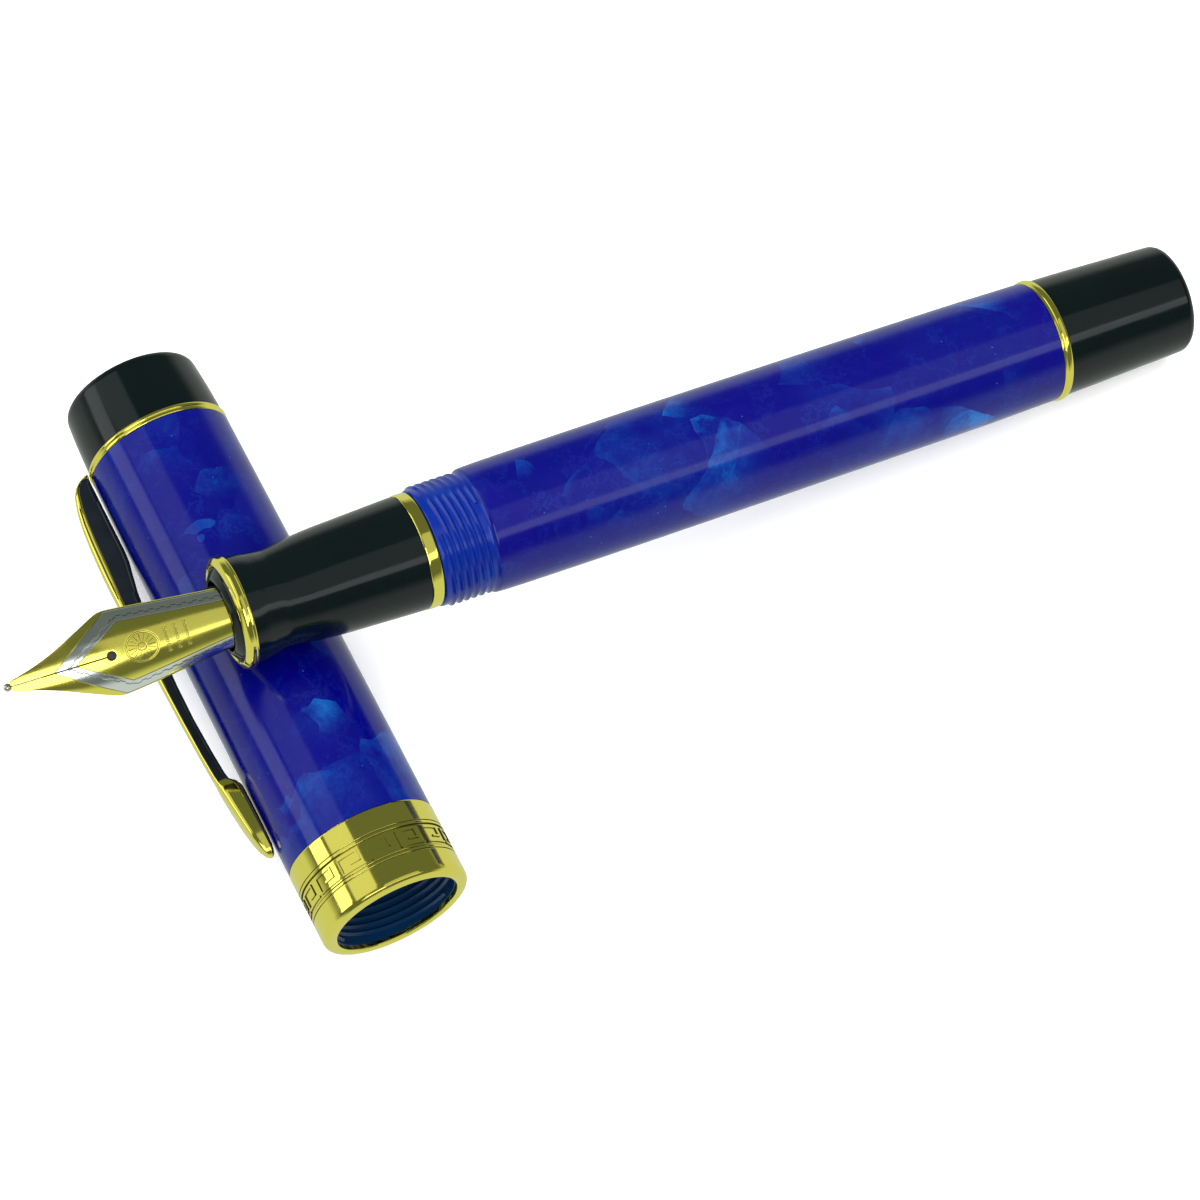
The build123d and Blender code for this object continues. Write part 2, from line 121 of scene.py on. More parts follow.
# the wide overhead light gives the even white; the small boxes are the ones mirrored in the polish
softboxes = [
    {"name": "overhead", "at": (0.0, 0.05, 1.0), "size": (1.7, 1.7), "power": 30.0,
     "along": (1, 0, 0), "mirrored": False},
    {"name": "penSoftbox", "at": (0.26, -0.26, 0.716), "size": (0.8, 0.56), "power": 0.50,
     "along": (1, 0, 0), "mirrored": True},
    {"name": "penStrip", "at": (0.26, -0.549, 0.53), "size": (0.8, 0.17), "power": 0.60,
     "along": (1, 0, 0), "mirrored": True},
    {"name": "capSoftbox", "at": (-0.43, 0.30, 0.61), "size": (0.7, 0.50), "power": 0.62,
     "along": (0, 1, 0), "mirrored": True},
    {"name": "capStrip", "at": (-0.70, 0.296, 0.26), "size": (0.7, 0.30), "power": 0.95,
     "along": (0, 1, 0), "mirrored": True},
    {"name": "nibSoftbox", "at": (-0.30, -0.47, 0.58), "size": (0.44, 0.44), "power": 1.5,
     "along": (1, 0, 0), "mirrored": True},
]


def makeStage():
    aim = Vector(cameraSet["aim"])
    around = math.radians(cameraSet["azimuth"])
    above = math.radians(cameraSet["height"])
    level = math.cos(above)
    back = Vector((math.sin(around) * level, -math.cos(around) * level, math.sin(above)))
    camera = bpy.data.objects.new("camera", bpy.data.cameras.new("camera"))
    bpy.context.collection.objects.link(camera)
    camera.data.lens = cameraSet["lens"]
    camera.data.sensor_width = cameraSet["sensor"]
    camera.data.clip_start = cameraSet["nearest"]
    camera.data.clip_end = cameraSet["farthest"]
    camera.location = aim + back * cameraSet["away"]
    camera.rotation_euler = (-back).to_track_quat("-Z", "Y").to_euler()
    bpy.context.scene.camera = camera

    bpy.ops.mesh.primitive_plane_add(size=floorSet["size"], location=(0, 0, 0))
    floor = bpy.context.object
    floor.name = "floor"
    # the polish mirrors the dark room, not the paper
    floor.visible_glossy = False
    paint = bpy.data.materials.new("floorPaper")
    paint.use_nodes = True
    shader = paint.node_tree.nodes["Principled BSDF"]
    shader.inputs["Base Color"].default_value = floorSet["colour"]
    shader.inputs["Roughness"].default_value = floorSet["roughness"]
    shader.inputs["Specular IOR Level"].default_value = 0.0
    shader.inputs["Emission Color"].default_value = (1, 1, 1, 1)
    shader.inputs["Emission Strength"].default_value = floorSet["glow"]
    floor.data.materials.append(paint)

    world = bpy.data.worlds.new("studio")
    bpy.context.scene.world = world
    world.use_nodes = True
    tree = world.node_tree
    direction = addNode(tree, "ShaderNodeTexCoord").outputs["Generated"]
    height = addNode(tree, "ShaderNodeSeparateXYZ", {0: direction}).outputs[2]
    rise = fadeNode(tree, height, *worldSet["blend"], 0.0, 1.0)
    room = mixColours(tree, rise, worldSet["below"], worldSet["above"])
    tree.links.new(room, tree.nodes["Background"].inputs[0])

    for box in softboxes:
        light = bpy.data.objects.new(box["name"], bpy.data.lights.new(box["name"], "AREA"))
        bpy.context.collection.objects.link(light)
        light.data.shape = "RECTANGLE"
        light.data.size, light.data.size_y = box["size"]
        light.data.energy = box["power"]
        light.visible_glossy = box["mirrored"]
        light.location = box["at"]
        # each light faces the origin, its long side as "along" says
        away = Vector(box["at"]).normalized()
        along = Vector(box["along"])
        along = (along - away * along.dot(away)).normalized()
        light.rotation_euler = Matrix((along, away.cross(along), away)).transposed().to_euler()
    bpy.context.scene.view_settings.view_transform = "Standard"
    bpy.context.scene.view_settings.look = "None"
    print("stage: camera, floor and softboxes")


makeStage()

# finishes


def newFinish(name):
    finish = bpy.data.materials.new(name)
    finish.use_nodes = True
    tree = finish.node_tree
    coords = addNode(tree, "ShaderNodeTexCoord").outputs["Object"]
    return finish, tree, tree.nodes["Principled BSDF"], coords


def rampNode(tree, value, stops):
    node = addNode(tree, "ShaderNodeValToRGB", {0: value})
    ramp = node.color_ramp
    while len(ramp.elements) < len(stops):
        ramp.elements.new(0.5)
    for element, (at, grey) in zip(ramp.elements, stops):
        element.position = at
        element.color = (grey, grey, grey, 1)
    return node.outputs[0]


wearSet = {"smear": 260.0, "grain": 2400.0, "specular": 0.4, "strength": 0.25}


def fineWear(tree, shader, coords, low, high, depth):
    # faint smears in the polish and hairline waviness
    smear = noiseNode(tree, coords, wearSet["smear"], 5.0, 0.6)[0]
    shader.inputs["Specular IOR Level"].default_value = wearSet["specular"]
    tree.links.new(fadeNode(tree, smear, 0.3, 0.75, low, high), shader.inputs["Roughness"])
    grain = noiseNode(tree, coords, wearSet["grain"], 3.0)[0]
    inputs = {"Strength": wearSet["strength"], "Distance": depth, "Height": grain}
    bump = addNode(tree, "ShaderNodeBump", inputs)
    tree.links.new(bump.outputs[0], shader.inputs["Normal"])


marbleSet = {
    "deep": (0.0002, 0.0006, 0.120, 1), "violet": (0.0018, 0.0004, 0.128, 1), "violetMost": 0.85,
    "pale": (0.0022, 0.054, 0.285, 1), "paleness": 1.4,
    "bright": (0.002, 0.15, 0.46, 1), "brightness": 1.4,
    # size of the shards, the share of them that is pale, and where each one's fade starts and ends
    "bigShards": (92.0, 0.78, -0.12, 0.40), "smallShards": (210.0, 0.34, -0.05, 0.36), "smallMost": 0.8,
    "driftScale": 190.0, "drift": 0.0028, "wispScale": 170.0, "mottleScale": 700.0,
    "hair": (0.012, 0.075, 0.40, 1), "hairScale": 190.0, "hairWidth": 0.02, "hairMost": 0.13,
    "speck": (0.06, 0.20, 0.55, 1), "speckScale": 1100.0, "speckMost": 0.35,
    "thread": (0.0005, 0.022, 0.225, 1), "threadMost": 0.6,
}
# taken off a noise or cell colour, this turns it into a shift both ways
middle = (0.5, 0.5, 0.5)


def shardLayer(tree, coords, scale, share, low, high):
    # each shard has one crisp side and fades away across itself
    inputs = {"Vector": coords, "Scale": scale}
    cells = addNode(tree, "ShaderNodeTexVoronoi", inputs, feature="F1").outputs
    inside = vectorNode(tree, "SUBTRACT", coords, cells["Position"])
    lean = vectorNode(tree, "SUBTRACT", cells["Color"], middle)
    across = addNode(tree, "ShaderNodeVectorMath", {0: inside, 1: lean}, operation="DOT_PRODUCT")
    across = mathNode(tree, "MULTIPLY", across.outputs["Value"], scale)
    fade = fadeNode(tree, across, low, high, 0.0, 1.0, interpolation_type="SMOOTHSTEP")
    lot = addNode(tree, "ShaderNodeSeparateColor", {0: cells["Color"]}).outputs
    chosen = fadeNode(tree, lot[1], 1.0 - share, 1.08, 0.0, 1.0)
    return mathNode(tree, "MULTIPLY", fade, chosen), lot[2]


def marbledResin(name, threadZone=False):
    finish, tree, shader, coords = newFinish(name)

    def times(a, b):
        return mathNode(tree, "MULTIPLY", a, b)

    drift = noiseNode(tree, coords, marbleSet["driftScale"], 2.5)["Color"]
    shift = vectorNode(tree, "SUBTRACT", drift, middle)
    inputs = {0: shift, "Scale": marbleSet["drift"]}
    shift = addNode(tree, "ShaderNodeVectorMath", inputs, operation="SCALE")
    moved = vectorNode(tree, "ADD", coords, shift.outputs[0])
    big, bigLot = shardLayer(tree, moved, *marbleSet["bigShards"])
    small, smallLot = shardLayer(tree, moved, *marbleSet["smallShards"])
    cloud = noiseNode(tree, moved, marbleSet["wispScale"], 7.0, 0.66)[0]
    wisps = rampNode(tree, cloud, [(0.38, 0.10), (0.64, 1.0)])
    grain = noiseNode(tree, coords, marbleSet["mottleScale"], 6.0, 0.75)[0]
    mottle = rampNode(tree, grain, [(0.28, 0.45), (0.72, 1.0)])
    # deep blue turns to violet from shard to shard
    violetShare = times(rampNode(tree, bigLot, [(0.2, 0.0), (0.85, 1.0)]), marbleSet["violetMost"])
    body = mixColours(tree, violetShare, marbleSet["deep"], marbleSet["violet"])
    # pale shards, brightest where two of them lie over each other
    paleShare = mathNode(tree, "MAXIMUM", big, times(small, marbleSet["smallMost"]))
    paleShare = times(times(times(paleShare, wisps), mottle), marbleSet["paleness"])
    body = mixColours(tree, paleShare, body, marbleSet["pale"])
    hot = times(rampNode(tree, smallLot, [(0.62, 0.0), (0.95, 1.0)]), times(paleShare, paleShare))
    body = mixColours(tree, times(hot, marbleSet["brightness"]), body, marbleSet["bright"])
    # faint hairline wisps and small specks of pearl
    hair = noiseNode(tree, moved, marbleSet["hairScale"], 8.0, 0.7)[0]
    hairLine = mathNode(tree, "ABSOLUTE", mathNode(tree, "SUBTRACT", hair, 0.5))
    hairShare = fadeNode(tree, hairLine, 0.0, marbleSet["hairWidth"], marbleSet["hairMost"])
    body = mixColours(tree, times(hairShare, wisps), body, marbleSet["hair"])
    inputs = {"Vector": coords, "Scale": marbleSet["speckScale"]}
    specks = addNode(tree, "ShaderNodeTexVoronoi", inputs, feature="F1").outputs
    dots = rampNode(tree, specks["Distance"], [(0.03, 1.0), (0.12, 0.0)])
    lot = addNode(tree, "ShaderNodeSeparateColor", {0: specks["Color"]}).outputs[0]
    thin = rampNode(tree, lot, [(0.90, 0.0), (0.95, 1.0)])
    body = mixColours(tree, times(dots, times(thin, marbleSet["speckMost"])), body, marbleSet["speck"])
    if threadZone:
        # cut resin is thinner over the bush and shows paler
        body = mixColours(tree, marbleSet["threadMost"], body, marbleSet["thread"])
    tree.links.new(body, shader.inputs["Base Color"])
    shader.inputs["IOR"].default_value = 1.5
    fineWear(tree, shader, coords, 0.10, 0.19, 0.000004)
    return finish


blackSet = {"dark": (0.0006, 0.0026, 0.0030, 1), "light": (0.0014, 0.0046, 0.0048, 1), "cloud": 90.0}


def blackResin(name):
    finish, tree, shader, coords = newFinish(name)
    cloud = noiseNode(tree, coords, blackSet["cloud"], 3.0)[0]
    body = mixColours(tree, cloud, blackSet["dark"], blackSet["light"])
    tree.links.new(body, shader.inputs["Base Color"])
    shader.inputs["IOR"].default_value = 1.5
    fineWear(tree, shader, coords, 0.08, 0.16, 0.000004)
    return finish


goldSet = {"bright": (1.0, 0.94, 0.19, 1), "warm": (0.99, 0.86, 0.13, 1), "cloud": 140.0}


def goldColour(tree, coords):
    cloud = noiseNode(tree, coords, goldSet["cloud"], 4.0)[0]
    return mixColours(tree, cloud, goldSet["bright"], goldSet["warm"])


def goldPlate(name, low=0.05, high=0.13):
    finish, tree, shader, coords = newFinish(name)
    tree.links.new(goldColour(tree, coords), shader.inputs["Base Color"])
    shader.inputs["Metallic"].default_value = 1.0
    fineWear(tree, shader, coords, low, high, 0.000002)
    return finish


def cloudedColour(tree, coords, scale, colour, darker):
    # the colour itself, clouded with a slightly darker one
    cloud = noiseNode(tree, coords, scale, 4.0)[0]
    return mixColours(tree, cloud, (*(darker * c for c in colour), 1), (*colour, 1))


def plainMetal(name, colour, low, high):
    finish, tree, shader, coords = newFinish(name)
    tree.links.new(cloudedColour(tree, coords, 300.0, colour, 0.9), shader.inputs["Base Color"])
    shader.inputs["Metallic"].default_value = 1.0
    fineWear(tree, shader, coords, low, high, 0.000004)
    return finish


def mouldedPlastic(name, colour, low, high):
    finish, tree, shader, coords = newFinish(name)
    tree.links.new(cloudedColour(tree, coords, 400.0, colour, 0.75), shader.inputs["Base Color"])
    shader.inputs["IOR"].default_value = 1.48
    fineWear(tree, shader, coords, low, high, 0.00001)
    return finish


clearSet = {"colour": (0.62, 0.72, 0.78, 1), "clear": 0.8, "index": 1.49}


def clearPlastic(name):
    finish, tree, shader, coords = newFinish(name)
    shader.inputs["Base Color"].default_value = clearSet["colour"]
    shader.inputs["Transmission Weight"].default_value = clearSet["clear"]
    shader.inputs["IOR"].default_value = clearSet["index"]
    fineWear(tree, shader, coords, 0.03, 0.10, 0.000003)
    return finish


# colours of the painted shade and reflection on the clip's sunk web
webShadeSet = {
    "dark": (0.004, 0.007, 0.012, 1), "light": (0.015, 0.020, 0.026, 1), "metal": 0.5, "rough": 0.28,
    "ripple": 260.0, "strength": 0.4, "depth": 0.00004,
}


def shadedWebFinish(name):
    # painted shade and reflection: a dark, half-metal colour with small ripples on the sunk web inside
    # the clip, standing in for the gold in shadow and the dark cap mirrored in it
    finish, tree, shader, coords = newFinish(name)
    cloud = noiseNode(tree, coords, 500.0, 5.0)[0]
    tree.links.new(mixColours(tree, cloud, webShadeSet["dark"], webShadeSet["light"]), shader.inputs["Base Color"])
    shader.inputs["Metallic"].default_value = webShadeSet["metal"]
    shader.inputs["Roughness"].default_value = webShadeSet["rough"]
    inputs = {"Vector": coords, "Scale": webShadeSet["ripple"], "Distortion": 5.0, "Detail": 3.0}
    ripple = addNode(tree, "ShaderNodeTexWave", inputs, bands_direction="DIAGONAL").outputs[1]
    inputs = {"Strength": webShadeSet["strength"], "Distance": webShadeSet["depth"], "Height": ripple}
    bump = addNode(tree, "ShaderNodeBump", inputs)
    tree.links.new(bump.outputs[0], shader.inputs["Normal"])
    return finish


# the nib's engraving, in millimetres back from the tip and across from the slit;
# a pair for a line is where its full depth ends and where it has run out
nibLook = {
    # the dark cut colour darkens the engraved lines and also paints the shade beside the slit
    "length": 25.0, "across": 10.0, "silver": (0.86, 0.91, 0.87, 1), "cutAndShadeColour": (0.10, 0.09, 0.035, 1),
    # the silver band's two borders: where each starts on the slit, its slope, and its inset further back
    "outer": (4.85, 0.72, 0.14), "inner": (6.9, 0.66, 1.35), "border": 0.035,
    "stepsPerMm": 0.95, "stepInset": 0.42, "stepHeight": 0.14, "stepLine": 0.045,
    # the slit's two widths: painted shade is full up to the first and gone by the second
    "slitShadeWidth": (0.035, 0.075), "slitEnd": 10.2,
    "fanAt": 13.4, "rays": 8.0, "rayLine": (0.10, 0.30), "rayReach": (0.55, 1.35),
    "circles": (0.42, 1.5, 1.66),
    "beadRows": (15.9, 16.9, 17.9), "beadsPerMm": 2.0, "beadRadius": 0.14, "beadReach": 1.5,
    "fanDepth": 0.85, "shade": 0.72, "rough": (0.13, 0.2), "strength": 0.6, "depth": 0.00003,
}


def nibPlate(name):
    # the nib's own map: u runs back from the tip, v across from the slit, edge holds the half width
    finish, tree, shader, coords = newFinish(name)

    def calc(how, a, b=0.0):
        return mathNode(tree, how, a, b)

    def length(a, b):
        return calc("SQRT", calc("ADD", calc("MULTIPLY", a, a), calc("MULTIPLY", b, b)))

    def lineAt(value, middleOfLine, full, gone):
        near = calc("ABSOLUTE", calc("SUBTRACT", value, middleOfLine))
        return fadeNode(tree, near, full, gone)

    def readMap(mapName):
        spot = addNode(tree, "ShaderNodeUVMap", uv_map=mapName).outputs[0]
        return addNode(tree, "ShaderNodeSeparateXYZ", {0: spot}).outputs

    nibSpot = readMap("nibMap")
    u = calc("MULTIPLY", nibSpot[0], nibLook["length"])
    v = calc("MULTIPLY", calc("SUBTRACT", nibSpot[1], 0.5), nibLook["across"])
    edge = calc("MULTIPLY", readMap("edgeMap")[0], nibLook["across"])
    side = calc("ABSOLUTE", v)
    # both borders run from the slit to the shoulders and then along the edge
    borders = []
    for start, slope, inset in (nibLook["outer"], nibLook["inner"]):
        slanted = calc("MULTIPLY", calc("SUBTRACT", u, start), slope)
        borders.append(calc("MINIMUM", slanted, calc("SUBTRACT", edge, inset)))
    outer, inner = borders
    steps = calc("GREATER_THAN", calc("FRACT", calc("MULTIPLY", u, nibLook["stepsPerMm"])), 0.5)
    stepLine = calc("ADD", nibLook["stepInset"], calc("MULTIPLY", steps, nibLook["stepHeight"]))
    stepLine = calc("ADD", inner, stepLine)
    inBand = calc("MULTIPLY", calc("LESS_THAN", side, outer), calc("GREATER_THAN", side, inner))
    # painted shade: the slit's edges are darkened up to the breather hole, standing in for the shaded
    # slit walls
    slitShade = fadeNode(tree, side, *nibLook["slitShadeWidth"])
    lines = calc("MULTIPLY", slitShade, calc("LESS_THAN", u, nibLook["slitEnd"]))
    # engraved lines: both borders of the band and the stepped line inside it
    border = nibLook["border"]
    for at, width in ((outer, border), (inner, border), (stepLine, nibLook["stepLine"])):
        lines = calc("MAXIMUM", lines, lineAt(side, at, width * 0.5, width * 1.6))
    # engraved fan of rays with three circles and three rows of beads
    back = calc("SUBTRACT", u, nibLook["fanAt"])
    reach = length(back, v)
    ray = calc("ABSOLUTE", calc("SINE", calc("MULTIPLY", calc("ARCTAN2", v, back), nibLook["rays"])))
    first, last = nibLook["rayReach"]
    ring = calc("MULTIPLY", calc("GREATER_THAN", reach, first), calc("LESS_THAN", reach, last))
    fan = calc("MULTIPLY", fadeNode(tree, ray, *nibLook["rayLine"]), ring)
    for radius in nibLook["circles"]:
        fan = calc("MAXIMUM", fan, lineAt(reach, radius, 0.02, 0.06))
    for row in nibLook["beadRows"]:
        along = calc("SUBTRACT", u, row)
        inRow = calc("MULTIPLY", calc("LESS_THAN", side, nibLook["beadReach"]),
                     calc("LESS_THAN", calc("ABSOLUTE", along), 0.3))
        cell = calc("SUBTRACT", calc("FRACT", calc("MULTIPLY", v, nibLook["beadsPerMm"])), 0.5)
        bead = length(calc("MULTIPLY", cell, 1 / nibLook["beadsPerMm"]), along)
        beadLine = lineAt(bead, nibLook["beadRadius"], 0.015, 0.05)
        fan = calc("MAXIMUM", fan, calc("MULTIPLY", beadLine, inRow))
    cut = calc("MAXIMUM", lines, calc("MULTIPLY", fan, nibLook["fanDepth"]))
    body = mixColours(tree, inBand, goldColour(tree, coords), nibLook["silver"])
    # the engraved lines are darkened, and the painted slit shade with them
    body = mixColours(tree, calc("MULTIPLY", cut, nibLook["shade"]), body, nibLook["cutAndShadeColour"])
    tree.links.new(body, shader.inputs["Base Color"])
    shader.inputs["Metallic"].default_value = 1.0
    smear = noiseNode(tree, coords, 300.0, 5.0)[0]
    tree.links.new(fadeNode(tree, smear, 0.3, 0.7, *nibLook["rough"]), shader.inputs["Roughness"])
    inputs = {"Strength": nibLook["strength"], "Distance": nibLook["depth"], "Height": cut}
    bump = addNode(tree, "ShaderNodeBump", inputs, invert=True)
    tree.links.new(bump.outputs[0], shader.inputs["Normal"])
    return finish


finishes = {
    "marbledResin": marbledResin("marbledResin"),
    "threadResin": marbledResin("threadResin", True),
    "blackResin": blackResin("blackResin"),
    "goldTrim": goldPlate("goldTrim"),
    "nibGold": nibPlate("nibGold"),
    "webPaintedShade": shadedWebFinish("webPaintedShade"),
    # darker gold, painted as shade on the band's groove and pattern walls
    "goldPaintedShade": plainMetal("goldPaintedShade", (0.20, 0.17, 0.03), 0.3, 0.45),
    "ferruleGold": goldPlate("ferruleGold", 0.12, 0.24),
    "bushBrass": plainMetal("bushBrass", (0.62, 0.45, 0.16), 0.25, 0.4),
    "tipAlloy": plainMetal("tipAlloy", (0.72, 0.70, 0.55), 0.15, 0.28),
    "screwSteel": plainMetal("screwSteel", (0.58, 0.58, 0.57), 0.25, 0.4),
    "feedBlack": mouldedPlastic("feedBlack", (0.012, 0.012, 0.013), 0.28, 0.45),
    "mouthResin": mouldedPlastic("mouthResin", (0.002, 0.022, 0.070), 0.10, 0.22),
    "linerBlue": mouldedPlastic("linerBlue", (0.010, 0.014, 0.06), 0.25, 0.42),
    "threadBlack": mouldedPlastic("threadBlack", (0.014, 0.014, 0.015), 0.2, 0.35),
    "knobBlack": mouldedPlastic("knobBlack", (0.016, 0.016, 0.017), 0.2, 0.38),
    "rodGrey": mouldedPlastic("rodGrey", (0.30, 0.30, 0.32), 0.35, 0.5),
    "sealRubber": mouldedPlastic("sealRubber", (0.03, 0.03, 0.032), 0.55, 0.75),
    "clearTube": clearPlastic("clearTube"),
}
print("finishes:", len(finishes))

# modelling helpers


def noneSelected():
    if bpy.context.mode != "OBJECT":
        bpy.ops.object.mode_set(mode="OBJECT")
    bpy.ops.object.select_all(action="DESELECT")


def smoothLine(points, perSpan=5):
    # a curve through the stations, close enough together to look turned
    out = []
    for i in range(len(points) - 1):
        p0 = points[max(i - 1, 0)]
        p1, p2 = points[i], points[i + 1]
        p3 = points[min(i + 2, len(points) - 1)]
        for k in range(perSpan):
            t = k / perSpan
            spot = []
            for a, b, c, d in zip(p0, p1, p2, p3):
                spot.append(0.5 * (2 * b + (c - a) * t + (2 * a - 5 * b + 4 * c - d) * t * t
                                   + (3 * b - a - 3 * c + d) * t ** 3))
            out.append(tuple(spot))
    out.append(tuple(points[-1]))
    return out


def turnBetween(a, b):
    return abs((a - b + math.pi) % (2 * math.pi) - math.pi)


cornerSet = {"gap": 0.035, "longSpan": 0.21, "sharpest": math.radians(4)}


def holdCorners(stations):
    # a station close to each corner of a long span, so that smooth shading leaves the span flat
    out = [stations[0]]
    for i in range(1, len(stations)):
        (z0, r0), (z1, r1) = stations[i - 1], stations[i]
        span = math.hypot(z1 - z0, r1 - r0)
        if span > cornerSet["longSpan"]:
            near = cornerSet["gap"] / span
            heading = math.atan2(r1 - r0, z1 - z0)
            if i > 1:
                zBefore, rBefore = stations[i - 2]
                if turnBetween(heading, math.atan2(r0 - rBefore, z0 - zBefore)) > cornerSet["sharpest"]:
                    out.append((z0 + near * (z1 - z0), r0 + near * (r1 - r0)))
            if i + 1 < len(stations):
                zAfter, rAfter = stations[i + 1]
                if turnBetween(heading, math.atan2(rAfter - r1, zAfter - z1)) > cornerSet["sharpest"]:
                    out.append((z1 - near * (z1 - z0), r1 - near * (r1 - r0)))
        out.append((z1, r1))
    return out


def turnPiece(name, stations, place, around=160, closeEnds=False):
    # a circle is extruded and scaled through the stations, as on a lathe
    # an outline that ends where it began is a ring; with closeEnds the two open ends of any other are
    # closed
    noneSelected()
    stations = holdCorners(stations)
    z, r = stations[0]
    bpy.ops.mesh.primitive_circle_add(vertices=around, radius=r * mm, location=(0, 0, z * mm))
    piece = bpy.context.object
    piece.name = name
    bpy.ops.object.transform_apply(location=True, rotation=False, scale=False)
    bpy.ops.object.mode_set(mode="EDIT")
    bpy.ops.mesh.select_all(action="SELECT")
    for nextZ, nextR in stations[1:]:
        bpy.ops.mesh.extrude_edges_move(TRANSFORM_OT_translate={"value": (0, 0, (nextZ - z) * mm)})
        grow = nextR / r
        bpy.ops.transform.resize(value=(grow, grow, 1), center_override=(0, 0, nextZ * mm))
        z, r = nextZ, nextR
    bpy.ops.mesh.select_all(action="SELECT")
    bpy.ops.mesh.remove_doubles(threshold=0.000002)
    if closeEnds:
        bpy.ops.mesh.select_all(action="DESELECT")
        bpy.ops.mesh.select_non_manifold()
        bpy.ops.mesh.edge_face_add()
    bpy.ops.mesh.select_all(action="SELECT")
    bpy.ops.mesh.normals_make_consistent(inside=False)
    bpy.ops.object.mode_set(mode="OBJECT")
    putInPlace(piece, place)
    return piece


def putInPlace(piece, place):
    piece.matrix_world = place
    piece.select_set(True)
    bpy.context.view_layer.objects.active = piece
    bpy.ops.object.transform_apply(location=True, rotation=True, scale=True)


def applyAll(piece):
    noneSelected()
    piece.select_set(True)
    bpy.context.view_layer.objects.active = piece
    for modifier in list(piece.modifiers):
        bpy.ops.object.modifier_apply(modifier=modifier.name)


def softenEdges(piece, width, segments=3, angle=25.0):
    bevel = piece.modifiers.new("softEdge", "BEVEL")
    bevel.width = width * mm
    bevel.segments = segments
    bevel.limit_method = "ANGLE"
    bevel.angle_limit = math.radians(angle)
    bevel.harden_normals = False
    applyAll(piece)


def finishPiece(piece, body, nodes, finish, angle=40.0):
    noneSelected()
    piece.select_set(True)
    bpy.context.view_layer.objects.active = piece
    bpy.ops.object.shade_smooth_by_angle(angle=math.radians(angle))
    piece.data.materials.clear()
    piece.data.materials.append(finishes[finish])
    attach(piece, body)
    if nodes:
        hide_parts(*nodes)
    print("piece:", piece.name, len(piece.data.polygons))


def addZone(piece, finish, isInZone):
    piece.data.materials.append(finishes[finish])
    for face in piece.data.polygons:
        if isInZone(face):
            face.material_index = len(piece.data.materials) - 1


# a ridge's outline: height share and half-width share from its root to its crest and down again
ridgeOutline = [(0, -1), (0.75, -0.28), (1, -0.1), (1, 0.1), (0.75, 0.28), (0, 1)]


def threadRidge(name, settings, place):
    # one ridge for each start, wound round the axis by a screw modifier
    ridges = []
    for start in range(settings["starts"]):
        noneSelected()
        bpy.ops.mesh.primitive_circle_add(vertices=len(ridgeOutline), radius=1.0, location=(0, 0, 0))
        ridge = bpy.context.object
        ridge.name = name
        root, crest, half = settings["root"] * mm, settings["crest"] * mm, settings["half"] * mm
        for vertex, (up, across) in zip(ridge.data.vertices, ridgeOutline):
            vertex.co = (root + up * (crest - root), 0, across * half)
        screw = ridge.modifiers.new("wind", "SCREW")
        screw.axis = "Z"
        screw.angle = 2 * math.pi * settings["turns"]
        screw.screw_offset = settings["lead"] * settings["turns"] * mm
        screw.steps = screw.render_steps = int(settings["steps"] * settings["turns"])
        applyAll(ridge)
        bpy.ops.object.mode_set(mode="EDIT")
        bpy.ops.mesh.select_all(action="DESELECT")
        bpy.ops.mesh.select_non_manifold()
        bpy.ops.mesh.edge_face_add()
        bpy.ops.mesh.select_all(action="SELECT")
        bpy.ops.mesh.normals_make_consistent(inside=False)
        bpy.ops.object.mode_set(mode="OBJECT")
        turned = Matrix.Rotation(2 * math.pi * start / settings["starts"], 4, "Z")
        putInPlace(ridge, place @ Matrix.Translation((0, 0, settings["from"] * mm)) @ turned)
        ridges.append(ridge)
    return ridges


def joinPieces(piece, others):
    noneSelected()
    for other in others:
        other.select_set(True)
    piece.select_set(True)
    bpy.context.view_layer.objects.active = piece
    bpy.ops.object.join()
    return piece


# barrel and tail

barrelSet = {
    "outside": [(15.97, 6.28), (20.45, 6.36), (24.45, 6.43), (34.45, 6.48), (48.45, 6.52),
                (62.0, 6.535), (74.45, 6.49), (77.95, 6.44), (79.0, 6.385)],
    "mouth": [(79.1, 6.36), (79.25, 6.25), (79.42, 6.06), (79.6, 6.0), (84.7, 6.0), (84.85, 5.95),
              (84.95, 5.82)],
    "inside": [(84.95, 5.52), (74.4, 5.52), (74.4, 5.0), (15.97, 5.0), (15.97, 6.28)],
    "thread": {"starts": 3, "turns": 1.95, "lead": 2.4, "from": 79.75,
               "root": 5.95, "crest": 6.235, "half": 0.33, "steps": 120},
    "threadZone": 79.2,
}
barrelLine = smoothLine(barrelSet["outside"]) + barrelSet["mouth"] + barrelSet["inside"]
barrel = turnPiece("barrelShell", barrelLine, penPlace, 192)
barrel = joinPieces(barrel, threadRidge("barrelThread", barrelSet["thread"], penPlace))
finishPiece(barrel, "barrel", ["barrel_tube"], "marbledResin", 30)
threadZone = barrelSet["threadZone"] * mm
addZone(barrel, "threadResin", lambda face: (face.center - penTail).dot(penDir) > threadZone)

